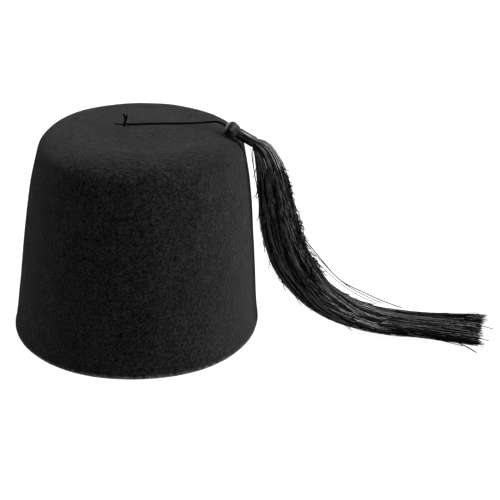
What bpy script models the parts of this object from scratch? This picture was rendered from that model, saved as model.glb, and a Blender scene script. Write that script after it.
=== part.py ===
"""A black felt fez that stands on its rim, with a thread tassel on a thin cord.

Metres, +Z up. The origin is the middle of the rim, on the floor that the hat stands on.
+X points to the side where the tassel hangs, and -Y is the front.

The felt crown is one blocked piece, hollow and open below. A short forked stem of cord comes
up through its top. The tassel's cord lies across the top from the stem to a wound knob on the
shoulder, and the tassel's threads hang from there to the floor, where their ends lie flat.
"""
import math

import bpy
import bmesh
import numpy as np
from mathutils import Matrix, Vector

# Gap between two pieces that touch
GAP = 0.0003

# Felt crown: its rim, wall, shoulder, top and thickness
RIM_WIDTH = 0.172
RIM_DEPTH = 0.2024
WALL_HEIGHT = 0.1253
SHOULDER_REACH = 0.0236
SHOULDER_RISE = 0.0149
DOME_RISE = 0.0024
CROWN_LEAN = 0.0028
FELT = 0.0025
CROWN_SIDES = 56
HOLE_SIDES = 12
WALL_RINGS = 10
SHOULDER_RINGS = 6
DOME_RINGS = 3
# How strongly the wall's rings crowd together towards the rim, where 1 is not at all
RIM_CROWDING = 1.25
# How square the oval is in plan, where 2 is an ellipse
PLAN_SQUARENESS = 2.1

# Height on the wall as a share of WALL_HEIGHT, width there as a share of RIM_WIDTH
WALL_SECTIONS = [
    {"height": 0.00, "width": 1.000},
    {"height": 0.10, "width": 0.979},
    {"height": 0.25, "width": 0.958},
    {"height": 0.50, "width": 0.925},
    {"height": 0.78, "width": 0.876},
    {"height": 1.00, "width": 0.812},
]

# Stem: the cord end that stands in the top, and the plain knot that holds it below the felt
CORD_DIAMETER = 0.0013
STEM_X = -0.0092
STEM_Y = -0.0032
STEM_HEIGHT = 0.0080
STEM_LEAN = 0.0011
FORK_SPREAD = 0.0017
KNOT_DIAMETER = 0.0046
TAIL_LENGTH = 0.0070
# Height of the fork as a share of STEM_HEIGHT, and of the shorter prong's tip
FORK_SHARE = 0.53
SHORT_PRONG_SHARE = 0.90
# Shares of the cord's radius: a prong, its tip, and the tip of the tail on the felt
PRONG_SIZE = 0.80
PRONG_TIP = 0.55
TAIL_TIP = 0.45
# How far the tail sweeps to the back as a share of its length, and its points along it
TAIL_SWEEP = 0.45
TAIL_STEPS = [0.0, 0.35, 0.7, 1.0]
STEM_SIDES = 10
PRONG_SIDES = 8

# Tassel head: the wound knob that sits on the shoulder, and the wound sleeve below it
KNOB_DIAMETER = 0.0106
KNOB_LENGTH = 0.0094
SLEEVE_DIAMETER = 0.0081
SLEEVE_LENGTH = 0.0125
SLEEVE_WALL = 0.0008
SOCKET_DEPTH = 0.0020
HEAD_SIDES = 20
# The knob's end faces as a share of its diameter, and how square its outline is
KNOB_END = 0.40
KNOB_SQUARENESS = 2.3
KNOB_RINGS = 9
# Place along the sleeve as a share of its length, and size as a share of its diameter
SLEEVE_SECTIONS = [
    {"at": 0.00, "size": 0.94},
    {"at": 0.06, "size": 1.00},
    {"at": 0.50, "size": 0.96},
    {"at": 0.94, "size": 1.00},
    {"at": 1.00, "size": 0.96},
]
# Where the knob sits: its bearing from +X round the crown, and how far up the shoulder's arc
KNOB_BEARING = -4.6
KNOB_SEAT_ANGLE = 58.5
# The tassel head's axis: how far it dips below level, and its bearing
HEAD_DIP = 25.5
HEAD_BEARING = -11.4

# Tassel skirt: the threads below the sleeve
SKIRT_LENGTH = 0.243
SKIRT_REACH = 0.165
SKIRT_WIDTH = 0.0266
SKIRT_SWAY = 0.0100
LOCK_COUNT = 12
LOCK_SIDES = 6
CORE_SIDES = 14
SKIRT_RINGS = 24
# How strongly the skirt's rings crowd together towards the sleeve, where 1 is not at all
SLEEVE_CROWDING = 1.15
# The share of its length that hangs before the skirt turns outwards
HANGING_SHARE = 0.25
# How far the locks may stand out below the section where the skirt lies on the floor
FLOOR_ROOM = 1.05

# The skirt's middle line from the sleeve's mouth to past its tip. out is a share of SKIRT_REACH
# along X, sway a share of SKIRT_SWAY along -Y, and height a share of the drop to the floor.
SKIRT_ROUTE = [
    {"out": 0.000, "sway": 0.00, "height": 1.000},
    {"out": 0.032, "sway": 0.03, "height": 0.962},
    {"out": 0.053, "sway": 0.05, "height": 0.907},
    {"out": 0.085, "sway": 0.06, "height": 0.735},
    {"out": 0.123, "sway": 0.05, "height": 0.485},
    {"out": 0.178, "sway": 0.05, "height": 0.282},
    {"out": 0.295, "sway": 0.05, "height": 0.094},
    {"out": 0.405, "sway": 0.08, "height": 0.022},
    {"out": 0.527, "sway": 0.20, "height": 0.000},
    {"out": 0.708, "sway": 0.46, "height": 0.000},
    {"out": 1.157, "sway": 1.05, "height": 0.000},
]

# The skirt's section along its length. at is a share of SKIRT_LENGTH; thick, in the plane of
# the fall, and wide, across it, are shares of SKIRT_WIDTH.
SKIRT_SECTIONS = [
    {"at": 0.000, "thick": 0.23, "wide": 0.23},
    {"at": 0.026, "thick": 0.48, "wide": 0.40},
    {"at": 0.058, "thick": 0.62, "wide": 0.45},
    {"at": 0.148, "thick": 0.82, "wide": 0.51},
    {"at": 0.270, "thick": 1.00, "wide": 0.58},
    {"at": 0.378, "thick": 1.04, "wide": 0.74},
    {"at": 0.504, "thick": 0.86, "wide": 1.00},
    {"at": 0.583, "thick": 0.72, "wide": 1.16},
    {"at": 0.650, "thick": 0.54, "wide": 1.26},
    {"at": 0.786, "thick": 0.40, "wide": 1.30},
    {"at": 0.943, "thick": 0.36, "wide": 1.66},
    {"at": 1.000, "thick": 0.33, "wide": 1.88},
]

# The core ends before the locks do. These are shares of the skirt's section, so a lock's
# middle runs on a ring inside the outline, and the ring is narrow where the locks begin.
CORE_SHARE = 0.80
CORE_END = 0.955
LOCK_START = 0.008
LOCK_RADIUS = 0.30
LOCK_RADIUS_AT_START = 0.18
LOCK_RING = 0.70
LOCK_RING_AT_START = 0.42
LOCK_RING_FULL_AT = 0.10
# Each lock wanders round the core by this angle, in waves along its length, and each lock's
# waves start at a different place
LOCK_WANDER = 0.16
LOCK_WAVES = 5.0
LOCK_WAVE_SHIFT = 2.1
# Near its end, from this share of its length, a lock tapers to this share of its size
LOCK_TAPER_FROM = 0.93
LOCK_TIP = 0.45
# How long each lock is in turn, as a share of SKIRT_LENGTH
LOCK_ENDS = [1.000, 0.972, 0.990, 0.962, 0.984, 0.968]

# The cord's route over the top, chosen by hand: place in plan, and how high it is lifted
# clear of the felt where it rises to the knob
CORD_ROUTE = [
    {"x": -0.0040, "y": -0.0042, "lift": 0.0000},
    {"x": 0.0040, "y": -0.0022, "lift": 0.0000},
    {"x": 0.0120, "y": 0.0000, "lift": 0.0000},
    {"x": 0.0200, "y": 0.0028, "lift": 0.0001},
    {"x": 0.0280, "y": 0.0052, "lift": 0.0003},
    {"x": 0.0350, "y": 0.0068, "lift": 0.0008},
    {"x": 0.0420, "y": 0.0070, "lift": 0.0017},
    {"x": 0.0480, "y": 0.0052, "lift": 0.0031},
    {"x": 0.0530, "y": 0.0018, "lift": 0.0047},
]
CORD_POINT_SPACING = 2.4


def make_material(name, colour, roughness):
    """A dull dark cloth material."""
    material = bpy.data.materials.new(name)
    material.use_nodes = True
    shader = material.node_tree.nodes["Principled BSDF"]
    shader.inputs["Base Color"].default_value = (*colour, 1.0)
    shader.inputs["Roughness"].default_value = roughness
    shader.inputs["Metallic"].default_value = 0.0
    return material


def add_object(name, bm, material):
    """Turn a bmesh into a smooth-shaded object with its faces pointing out."""
    bmesh.ops.recalc_face_normals(bm, faces=bm.faces)
    mesh = bpy.data.meshes.new(name)
    bm.to_mesh(mesh)
    bm.free()
    mesh.materials.append(material)
    mesh.shade_smooth()
    mesh.set_sharp_from_angle(angle=math.radians(50))
    piece = bpy.data.objects.new(name, mesh)
    bpy.context.scene.collection.objects.link(piece)
    return piece


def as_tool(piece):
    """Mark an object as a tool for a Boolean, which isn't part of the hat."""
    piece.hide_render = True
    piece.display_type = "WIRE"
    return piece


def add_boolean(piece, tool, operation, solver="EXACT"):
    """Join a tool to a piece, or cut it out of the piece."""
    modifier = piece.modifiers.new(tool.name, "BOOLEAN")
    modifier.operation = operation
    modifier.solver = solver
    modifier.object = tool


def skin_rings(bm, rings, closed=False):
    """Faces over rings of points, with a fan on each end, or back to the first ring if closed."""
    loops = [[bm.verts.new(point) for point in ring] for ring in rings]
    pairs = list(zip(loops, loops[1:]))
    if closed:
        pairs.append((loops[-1], loops[0]))
    for lower, upper in pairs:
        for i in range(len(lower)):
            j = (i + 1) % len(lower)
            bm.faces.new((lower[i], lower[j], upper[j], upper[i]))
    if closed:
        return
    for loop, ring in ((loops[0], rings[0]), (loops[-1], rings[-1])):
        middle = bm.verts.new(sum(ring, Vector()) / len(ring))
        for i in range(len(loop)):
            bm.faces.new((loop[i], loop[(i + 1) % len(loop)], middle))


def table_columns(table, *names):
    """The named columns of a table, as arrays."""
    return [np.array([row[name] for row in table]) for name in names]


def smooth_between(xs, ys, x):
    """A smooth curve through a table's points, which doesn't overshoot between them."""
    steps = np.diff(ys) / np.diff(xs)
    slopes = np.zeros(len(xs))
    for i in range(1, len(xs) - 1):
        if steps[i - 1] * steps[i] > 0:
            slopes[i] = 2 * steps[i - 1] * steps[i] / (steps[i - 1] + steps[i])
    slopes[0] = steps[0]
    slopes[-1] = steps[-1]
    i = min(max(int(np.searchsorted(xs, x)) - 1, 0), len(xs) - 2)
    width = xs[i + 1] - xs[i]
    t = (x - xs[i]) / width
    start = (1 + 2 * t) * (1 - t) ** 2 * ys[i] + t * (1 - t) ** 2 * width * slopes[i]
    end = t * t * (3 - 2 * t) * ys[i + 1] + t * t * (t - 1) * width * slopes[i + 1]
    return float(start + end)


def smooth_curve(points, steps=16):
    """A smooth curve through points, as many short steps."""
    ends = [points[0] * 2 - points[1]] + list(points) + [points[-1] * 2 - points[-2]]
    curve = []
    for before, start, end, after in zip(ends, ends[1:], ends[2:], ends[3:]):
        knots = [0.0]
        for a, b in ((before, start), (start, end), (end, after)):
            knots.append(knots[-1] + math.sqrt((b - a).length))
        pull_start = (start - before) / knots[1] - (end - before) / knots[2]
        pull_start = (pull_start + (end - start) / (knots[2] - knots[1])) * (knots[2] - knots[1])
        pull_end = (end - start) / (knots[2] - knots[1]) - (after - start) / (knots[3] - knots[1])
        pull_end = (pull_end + (after - end) / (knots[3] - knots[2])) * (knots[2] - knots[1])
        for step in range(steps):
            t = step / steps
            curve.append(
                start * (2 * t ** 3 - 3 * t ** 2 + 1)
                + pull_start * (t ** 3 - 2 * t ** 2 + t)
                + end * (3 * t ** 2 - 2 * t ** 3)
                + pull_end * (t ** 3 - t ** 2)
            )
    curve.append(points[-1].copy())
    return curve


def lengths_along(curve):
    """The length of a curve up to each of its points."""
    totals = [0.0]
    for a, b in zip(curve, curve[1:]):
        totals.append(totals[-1] + (b - a).length)
    return totals


def point_along(curve, totals, length):
    """The point at a length along a curve, or past its end in its last direction."""
    i = min(max(int(np.searchsorted(totals, length)) - 1, 0), len(curve) - 2)
    share = (length - totals[i]) / (totals[i + 1] - totals[i])
    return curve[i].lerp(curve[i + 1], share)


# Crown

def wall_half_width(share):
    """Half the crown's width at a share of the wall's height."""
    heights, widths = table_columns(WALL_SECTIONS, "height", "width")
    return smooth_between(heights, widths, share) * RIM_WIDTH / 2


def shoulder_start_angle():
    """The angle on the shoulder's arc where it leaves the sloping wall without a kink."""
    step = 0.01
    slope = (wall_half_width(1.0) - wall_half_width(1.0 - step)) / (step * WALL_HEIGHT)
    return math.atan(-slope * SHOULDER_RISE / SHOULDER_REACH)


def shoulder_point(angle):
    """Half width and height on the shoulder's arc, where 90 degrees is the edge of the top."""
    start = shoulder_start_angle()
    middle = wall_half_width(1.0) - SHOULDER_REACH * math.cos(start)
    base = WALL_HEIGHT - SHOULDER_RISE * math.sin(start)
    return middle + SHOULDER_REACH * math.cos(angle), base + SHOULDER_RISE * math.sin(angle)


def crown_outline(wall_rings, shoulder_rings, dome_rings):
    """Half width and height of the felt's outer face, from the rim to the middle of the top."""
    rows = []
    for i in range(wall_rings):
        share = (i / (wall_rings - 1)) ** RIM_CROWDING
        rows.append((wall_half_width(share), share * WALL_HEIGHT))
    start = shoulder_start_angle()
    for i in range(1, shoulder_rings + 1):
        rows.append(shoulder_point(start + (math.pi / 2 - start) * i / shoulder_rings))
    edge, height = rows[-1]
    for i in range(1, dome_rings + 1):
        share = 1 - i / dome_rings
        rows.append((edge * share, height + DOME_RISE * (1 - share ** 2) ** 2))
    return rows


CROWN_HEIGHT = shoulder_point(math.pi / 2)[1] + DOME_RISE


def squared(value):
    """A sine or cosine, changed so that the circle it draws is a little square."""
    return math.copysign(abs(value) ** (2 / PLAN_SQUARENESS), value)


def crown_point(half_width, height, bearing):
    """A point on the oval crown, which leans a little towards +X."""
    lean = CROWN_LEAN * height / CROWN_HEIGHT
    x = half_width * squared(math.cos(bearing)) + lean
    y = half_width * RIM_DEPTH / RIM_WIDTH * squared(math.sin(bearing))
    return Vector((x, y, height))


def crown_normal(rows, i, bearing):
    """The outward direction at a row of the outline."""
    before = rows[max(i - 1, 0)]
    after = rows[min(i + 1, len(rows) - 1)]
    up = crown_point(*after, bearing) - crown_point(*before, bearing)
    turn = 0.01
    half_width = max(rows[i][0], 0.0001)
    ahead = crown_point(half_width, rows[i][1], bearing + turn)
    behind = crown_point(half_width, rows[i][1], bearing - turn)
    return (ahead - behind).cross(up).normalized()


def top_height(x, y):
    """The height of the outer face above a place in plan."""
    rows = crown_outline(12 * WALL_RINGS, 12 * SHOULDER_RINGS, 12 * DOME_RINGS)
    widths = np.array([row[0] for row in rows])[::-1]
    heights = np.array([row[1] for row in rows])[::-1]
    height = CROWN_HEIGHT
    for _ in range(4):
        across = abs(x - CROWN_LEAN * height / CROWN_HEIGHT) ** PLAN_SQUARENESS
        deep = abs(y * RIM_WIDTH / RIM_DEPTH) ** PLAN_SQUARENESS
        reach = (across + deep) ** (1 / PLAN_SQUARENESS)
        height = float(np.interp(reach, widths, heights))
    return height


def add_crown(felt):
    """The felt: an outer face, the same face again inside it, and a flat rim between them."""
    rows = crown_outline(WALL_RINGS, SHOULDER_RINGS, DOME_RINGS)
    bearings = [2 * math.pi * i / CROWN_SIDES for i in range(CROWN_SIDES)]
    outer = []
    inner = []
    for i, (half_width, height) in enumerate(rows[:-1]):
        outer_ring = []
        inner_ring = []
        for bearing in bearings:
            point = crown_point(half_width, height, bearing)
            inward = crown_normal(rows, i, bearing)
            if i == 0:
                inward.z = 0
                inward.normalize()
            outer_ring.append(point)
            inner_ring.append(point - inward * FELT)
        outer.append(outer_ring)
        inner.append(inner_ring)
    bm = bmesh.new()
    skin_rings(bm, inner[::-1] + outer)
    bm.verts.ensure_lookup_table()
    crown = add_object("crown", bm, felt)

    hole = bmesh.new()
    foot = Vector((STEM_X, STEM_Y, CROWN_HEIGHT))
    ring = []
    for i in range(HOLE_SIDES):
        turn = 2 * math.pi * i / HOLE_SIDES
        ring.append(Vector((math.cos(turn), math.sin(turn), 0)) * (CORD_DIAMETER / 2 + GAP))
    rings = [[foot + point + Vector((0, 0, drop)) for point in ring] for drop in (-4 * FELT, FELT)]
    skin_rings(hole, rings)
    add_boolean(crown, as_tool(add_object("stem_hole_tool", hole, felt)), "DIFFERENCE")
    return crown


# Round pieces

def turn_profile(profile, sides, start, along, closed=False):
    """Rings of points round an axis. A profile row is a place along it and a radius."""
    across = along.orthogonal().normalized()
    rings = []
    for place, radius in profile:
        ring = []
        for i in range(sides):
            spoke = Matrix.Rotation(2 * math.pi * i / sides, 3, along) @ across
            ring.append(start + along * place + spoke * radius)
        rings.append(ring)
    bm = bmesh.new()
    skin_rings(bm, rings, closed)
    return bm


def tube_along(points, radii, sides):
    """A tube through points, with a radius at each."""
    rings = []
    across = (points[1] - points[0]).orthogonal().normalized()
    for i, point in enumerate(points):
        along = (points[min(i + 1, len(points) - 1)] - points[max(i - 1, 0)]).normalized()
        across = (across - along * across.dot(along)).normalized()
        beside = along.cross(across)
        ring = []
        for k in range(sides):
            turn = 2 * math.pi * k / sides
            ring.append(point + (across * math.cos(turn) + beside * math.sin(turn)) * radii[i])
        rings.append(ring)
    bm = bmesh.new()
    skin_rings(bm, rings)
    return bm


# Stem

def add_stem(cord):
    """A forked cord end that stands in the top, with its knot inside and a tail on the felt."""
    radius = CORD_DIAMETER / 2
    foot = Vector((STEM_X, STEM_Y, top_height(STEM_X, STEM_Y)))
    knot_top = foot.z - FELT - GAP
    knot = Vector((foot.x, foot.y, knot_top - KNOT_DIAMETER / 2))
    fork = foot + Vector((STEM_LEAN, 0, STEM_HEIGHT * FORK_SHARE))
    long_tip = foot + Vector((STEM_LEAN - FORK_SPREAD, 0, STEM_HEIGHT))
    short_tip = foot + Vector((STEM_LEAN + FORK_SPREAD / 4, 0, STEM_HEIGHT * SHORT_PRONG_SHARE))

    waist = foot.lerp(fork, 0.5) - Vector((STEM_LEAN / 4, 0, 0))
    shaft = [knot, foot, waist, fork, long_tip]
    radii = [radius, radius, radius, radius * 0.95, radius * PRONG_TIP]
    stem = add_object("stem", tube_along(shaft, radii, STEM_SIDES), cord)

    prong = [fork.lerp(foot, 0.3), fork.lerp(short_tip, 0.3), short_tip]
    radii = [radius * PRONG_SIZE, radius * PRONG_SIZE, radius * PRONG_TIP]
    prong_tool = add_object("stem_prong_tool", tube_along(prong, radii, PRONG_SIDES), cord)
    add_boolean(stem, as_tool(prong_tool), "UNION")

    ball = []
    bands = STEM_SIDES // 2
    for i in range(1, bands):
        angle = math.pi * i / bands
        place = -math.cos(angle) * KNOT_DIAMETER / 2
        ball.append((place, math.sin(angle) * KNOT_DIAMETER / 2))
    bm = turn_profile(ball, STEM_SIDES, knot, Vector((0, 0, 1)))
    knot_tool = add_object("stem_knot_tool", bm, cord)
    add_boolean(stem, as_tool(knot_tool), "UNION")

    tail = []
    radii = [radius * (1 + (TAIL_TIP - 1) * share) for share in TAIL_STEPS]
    for share, half in zip(TAIL_STEPS, radii):
        x = foot.x - TAIL_LENGTH * share
        y = foot.y + TAIL_LENGTH * TAIL_SWEEP * share ** 1.5
        tail.append(Vector((x, y, top_height(x, y) + half + GAP)))
    tail_tool = add_object("stem_tail_tool", tube_along(tail, radii, PRONG_SIDES), cord)
    add_boolean(stem, as_tool(tail_tool), "UNION")
    return stem


# Tassel head

def knob_middle():
    """The knob's middle, where it rests on the shoulder of the crown."""
    bearing = math.radians(KNOB_BEARING)
    angle = math.radians(KNOB_SEAT_ANGLE)
    step = 0.01
    rows = [shoulder_point(angle - step), shoulder_point(angle), shoulder_point(angle + step)]
    seat = crown_point(*rows[1], bearing)
    return seat + crown_normal(rows, 1, bearing) * (KNOB_DIAMETER / 2 + GAP)


def head_axis():
    """The direction of the tassel head, from the cord to the skirt."""
    dip = math.radians(HEAD_DIP)
    bearing = math.radians(HEAD_BEARING)
    level = math.cos(dip)
    return Vector((level * math.cos(bearing), level * math.sin(bearing), -math.sin(dip)))


def head_start():
    """The middle of the knob's face where the cord goes in."""
    return knob_middle() - head_axis() * KNOB_LENGTH / 2


def sleeve_start():
    """The middle of the sleeve's face beside the knob."""
    return head_start() + head_axis() * (KNOB_LENGTH + GAP)


def sleeve_mouth():
    """The middle of the sleeve's lower face, where the skirt comes out."""
    return sleeve_start() + head_axis() * SLEEVE_LENGTH


def neck_radius():
    """The radius of the skirt's neck inside the sleeve."""
    return SLEEVE_DIAMETER / 2 - SLEEVE_WALL - GAP


def add_knob(thread):
    """The wound knob, with a socket that the cord's end goes into."""
    socket = CORD_DIAMETER / 2 + GAP
    radius = KNOB_DIAMETER / 2
    profile = [(SOCKET_DEPTH, socket), (0.0, socket)]
    for i in range(KNOB_RINGS + 1):
        place = i / KNOB_RINGS
        bulge = (1 - abs(2 * place - 1) ** KNOB_SQUARENESS) ** (1 / KNOB_SQUARENESS)
        profile.append((place * KNOB_LENGTH, radius * (KNOB_END + (1 - KNOB_END) * bulge)))
    bm = turn_profile(profile, HEAD_SIDES, head_start(), head_axis())
    return add_object("tassel_knob", bm, thread)


def add_sleeve(thread):
    """The wound sleeve, a tube with a slight waist."""
    outer = SLEEVE_DIAMETER / 2
    inner = outer - SLEEVE_WALL
    profile = [(0.0, inner)]
    for row in SLEEVE_SECTIONS:
        profile.append((row["at"] * SLEEVE_LENGTH, row["size"] * outer))
    profile.append((SLEEVE_LENGTH, inner))
    bm = turn_profile(profile, HEAD_SIDES, sleeve_start(), head_axis(), closed=True)
    return add_object("tassel_sleeve", bm, thread)


# Tassel skirt

def skirt_half(at, column):
    """Half of the skirt's thickness or width at a share of its length."""
    places, sizes = table_columns(SKIRT_SECTIONS, "at", column)
    return smooth_between(places, sizes, at) * SKIRT_WIDTH / 2


def skirt_curve():
    """The skirt's middle line: out of the sleeve, down beside the crown and along the floor."""
    mouth = sleeve_mouth()
    points = []
    for row in SKIRT_ROUTE:
        at = HANGING_SHARE + (1 - HANGING_SHARE) * min(row["out"], 1.0)
        rest_height = skirt_half(at, "thick") * FLOOR_ROOM + GAP
        height = row["height"] * mouth.z + (1 - row["height"]) * rest_height
        points.append(Vector((
            mouth.x + row["out"] * SKIRT_REACH,
            mouth.y - row["sway"] * SKIRT_SWAY,
            height,
        )))
    return smooth_curve(points)


class Skirt:
    """The skirt's middle line with a frame at every place along it."""

    def __init__(self):
        self.curve = skirt_curve()
        self.totals = lengths_along(self.curve)

    def middle(self, at):
        return point_along(self.curve, self.totals, at * SKIRT_LENGTH)

    def frame(self, at):
        """The directions in the plane of the fall and across it."""
        step = 0.01
        along = (self.middle(at + step) - self.middle(max(at - step, 0.0))).normalized()
        across = Vector((0, 0, 1)).cross(along).normalized()
        return along.cross(across), across

    def place(self, at, u, v):
        """A point of the section, where u and v are shares of its half sizes."""
        in_plane, across = self.frame(at)
        thick = skirt_half(at, "thick")
        wide = skirt_half(at, "wide")
        return self.middle(at) + in_plane * (u * thick) + across * (v * wide)


def core_rings(skirt):
    """The core: a neck inside the sleeve, then a smooth bundle inside the locks."""
    axis = head_axis()
    across = Vector((0, 0, 1)).cross(axis).normalized()
    in_plane = axis.cross(across)
    turns = [2 * math.pi * i / CORE_SIDES for i in range(CORE_SIDES)]
    rings = []
    for place in (0.0, SLEEVE_LENGTH):
        middle = sleeve_start() + axis * place
        radius = neck_radius()
        rings.append([middle + (in_plane * math.cos(t) + across * math.sin(t)) * radius for t in turns])
    for i in range(1, SKIRT_RINGS + 1):
        at = LOCK_START + (CORE_END - LOCK_START) * (i / SKIRT_RINGS) ** SLEEVE_CROWDING
        rings.append([skirt.place(at, CORE_SHARE * math.cos(t), CORE_SHARE * math.sin(t)) for t in turns])
    return rings


def lock_rings(skirt, index):
    """One lock: a tapered tube that comes out of the core and ends by itself at the tip."""
    bearing = 2 * math.pi * (index + 0.5) / LOCK_COUNT
    end = LOCK_ENDS[index % len(LOCK_ENDS)]
    rings = []
    for i in range(SKIRT_RINGS):
        share = (i / (SKIRT_RINGS - 1)) ** SLEEVE_CROWDING
        at = LOCK_START + (end - LOCK_START) * share
        opened = min(at / LOCK_RING_FULL_AT, 1.0)
        ring = LOCK_RING_AT_START + (LOCK_RING - LOCK_RING_AT_START) * opened
        turn = bearing + LOCK_WANDER * math.sin(LOCK_WAVES * at + LOCK_WAVE_SHIFT * index)
        u = ring * math.cos(turn)
        v = ring * math.sin(turn)
        closed = max(0.0, (share - LOCK_TAPER_FROM) / (1 - LOCK_TAPER_FROM))
        taper = 1 - (1 - LOCK_TIP) * closed
        radius = (LOCK_RADIUS_AT_START + (LOCK_RADIUS - LOCK_RADIUS_AT_START) * opened) * taper
        section = []
        for k in range(LOCK_SIDES):
            spoke = turn + 2 * math.pi * k / LOCK_SIDES
            outward = radius * math.cos(spoke)
            beside = radius * math.sin(spoke)
            section.append(skirt.place(at, u + outward, v + beside))
        rings.append(section)
    return rings


def add_skirt(thread):
    """The skirt: a core with locks fused to it, in one body."""
    skirt = Skirt()
    bm = bmesh.new()
    skin_rings(bm, core_rings(skirt))
    piece = add_object("tassel_skirt", bm, thread)
    for index in range(LOCK_COUNT):
        bm = bmesh.new()
        skin_rings(bm, lock_rings(skirt, index))
        tool = as_tool(add_object(f"lock_tool_{index:02d}", bm, thread))
        add_boolean(piece, tool, "UNION", solver="MANIFOLD")
    return piece


# Cord

def cord_points():
    """The cord's middle line, from the stem's foot over the top and into the knob."""
    radius = CORD_DIAMETER / 2
    foot = Vector((STEM_X, STEM_Y, 0))
    first = Vector((CORD_ROUTE[0]["x"], CORD_ROUTE[0]["y"], 0))
    start = foot + (first - foot).normalized() * (CORD_DIAMETER + GAP)
    places = [(start.x, start.y, 0.0)] + [(row["x"], row["y"], row["lift"]) for row in CORD_ROUTE]
    points = [Vector((x, y, top_height(x, y) + radius + GAP + lift)) for x, y, lift in places]
    points.append(head_start() - head_axis() * CORD_DIAMETER)
    points.append(head_start() + head_axis() * (SOCKET_DEPTH - GAP))
    curve = smooth_curve(points)
    totals = lengths_along(curve)
    count = round(totals[-1] / (CORD_POINT_SPACING * CORD_DIAMETER)) + 1
    return [point_along(curve, totals, totals[-1] * i / (count - 1)) for i in range(count)]


def add_cord(cord):
    """The cord as a round tube."""
    points = cord_points()
    curve = bpy.data.curves.new("tassel_cord", "CURVE")
    curve.dimensions = "3D"
    curve.bevel_depth = CORD_DIAMETER / 2
    curve.bevel_resolution = 2
    curve.use_fill_caps = True
    spline = curve.splines.new("POLY")
    spline.points.add(len(points) - 1)
    for target, point in zip(spline.points, points):
        target.co = (*point, 1.0)
    curve.materials.append(cord)
    piece = bpy.data.objects.new("tassel_cord", curve)
    bpy.context.scene.collection.objects.link(piece)
    return piece


def main():
    for old in list(bpy.data.objects):
        bpy.data.objects.remove(old, do_unlink=True)
    felt = make_material("felt", (0.020, 0.020, 0.021), 0.95)
    thread = make_material("thread", (0.012, 0.012, 0.013), 0.40)
    cord = make_material("cord", (0.012, 0.012, 0.013), 0.55)
    add_crown(felt)
    add_stem(cord)
    add_cord(cord)
    add_knob(thread)
    add_sleeve(thread)
    add_skirt(thread)


main()
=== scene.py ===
"""Looks for the black felt fez and its thread tassel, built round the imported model.

Metres, +Z up, in the same frame as the solids. +X is the side where the tassel hangs and -Y
is the front. The sizes and routes at the top repeat the part's own, because this script reads
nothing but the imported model.
"""
import math

import bpy
import numpy as np
from mathutils import Matrix, Vector, noise


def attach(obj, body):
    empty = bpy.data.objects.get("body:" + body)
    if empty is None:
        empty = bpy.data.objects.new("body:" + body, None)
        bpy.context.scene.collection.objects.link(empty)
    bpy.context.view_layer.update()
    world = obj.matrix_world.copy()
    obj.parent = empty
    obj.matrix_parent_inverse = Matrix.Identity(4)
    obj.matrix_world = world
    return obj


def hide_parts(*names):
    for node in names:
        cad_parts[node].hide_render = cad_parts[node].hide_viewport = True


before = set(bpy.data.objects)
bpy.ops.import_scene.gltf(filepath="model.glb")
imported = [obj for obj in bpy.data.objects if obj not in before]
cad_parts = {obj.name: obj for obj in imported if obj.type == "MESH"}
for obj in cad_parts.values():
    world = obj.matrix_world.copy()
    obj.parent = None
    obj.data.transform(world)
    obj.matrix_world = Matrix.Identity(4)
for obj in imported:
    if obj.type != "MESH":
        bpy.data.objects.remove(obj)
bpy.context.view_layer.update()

# Crown, as in the solids
RIM_WIDTH = 0.172
RIM_DEPTH = 0.2024
WALL_HEIGHT = 0.1253
SHOULDER_REACH = 0.0236
SHOULDER_RISE = 0.0149
DOME_RISE = 0.0024
CROWN_LEAN = 0.0028
FELT = 0.0025
# How square the oval is in plan, where 2 is an ellipse
PLAN_SQUARENESS = 2.1
# Height on the wall as a share of WALL_HEIGHT, width there as a share of RIM_WIDTH
WALL_SECTIONS = [
    (0.00, 1.000),
    (0.10, 0.979),
    (0.25, 0.958),
    (0.50, 0.925),
    (0.78, 0.876),
    (1.00, 0.812),
]

# Stem and cord, as in the solids
CORD_DIAMETER = 0.0013
STEM_X = -0.0092
STEM_Y = -0.0032
STEM_HEIGHT = 0.0080
STEM_LEAN = 0.0011
FORK_SPREAD = 0.0017
FORK_SHARE = 0.53
SHORT_PRONG_SHARE = 0.90
KNOT_DIAMETER = 0.0046
GAP = 0.0003
# The cord's route over the top: x, y, and its lift off the felt
CORD_ROUTE = [
    (-0.0040, -0.0042, 0.0000),
    (0.0040, -0.0022, 0.0000),
    (0.0120, 0.0000, 0.0000),
    (0.0200, 0.0028, 0.0001),
    (0.0280, 0.0052, 0.0003),
    (0.0350, 0.0068, 0.0008),
    (0.0420, 0.0070, 0.0017),
    (0.0480, 0.0052, 0.0031),
    (0.0530, 0.0018, 0.0047),
]

# Tassel head, as in the solids
KNOB_DIAMETER = 0.0106
KNOB_LENGTH = 0.0094
SLEEVE_DIAMETER = 0.0081
SLEEVE_LENGTH = 0.0125
SOCKET_DEPTH = 0.0020
KNOB_BEARING = -4.6
KNOB_SEAT_ANGLE = 58.5
HEAD_DIP = 25.5
HEAD_BEARING = -11.4

# Tassel skirt, as in the solids
SKIRT_LENGTH = 0.243
SKIRT_REACH = 0.165
SKIRT_WIDTH = 0.0266
SKIRT_SWAY = 0.0100
HANGING_SHARE = 0.25
FLOOR_ROOM = 1.05
# out, sway and height
SKIRT_ROUTE = [
    (0.000, 0.00, 1.000),
    (0.032, 0.03, 0.962),
    (0.053, 0.05, 0.907),
    (0.085, 0.06, 0.735),
    (0.123, 0.05, 0.485),
    (0.178, 0.05, 0.282),
    (0.295, 0.05, 0.094),
    (0.405, 0.08, 0.022),
    (0.527, 0.20, 0.000),
    (0.708, 0.46, 0.000),
    (1.157, 1.05, 0.000),
]
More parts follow.
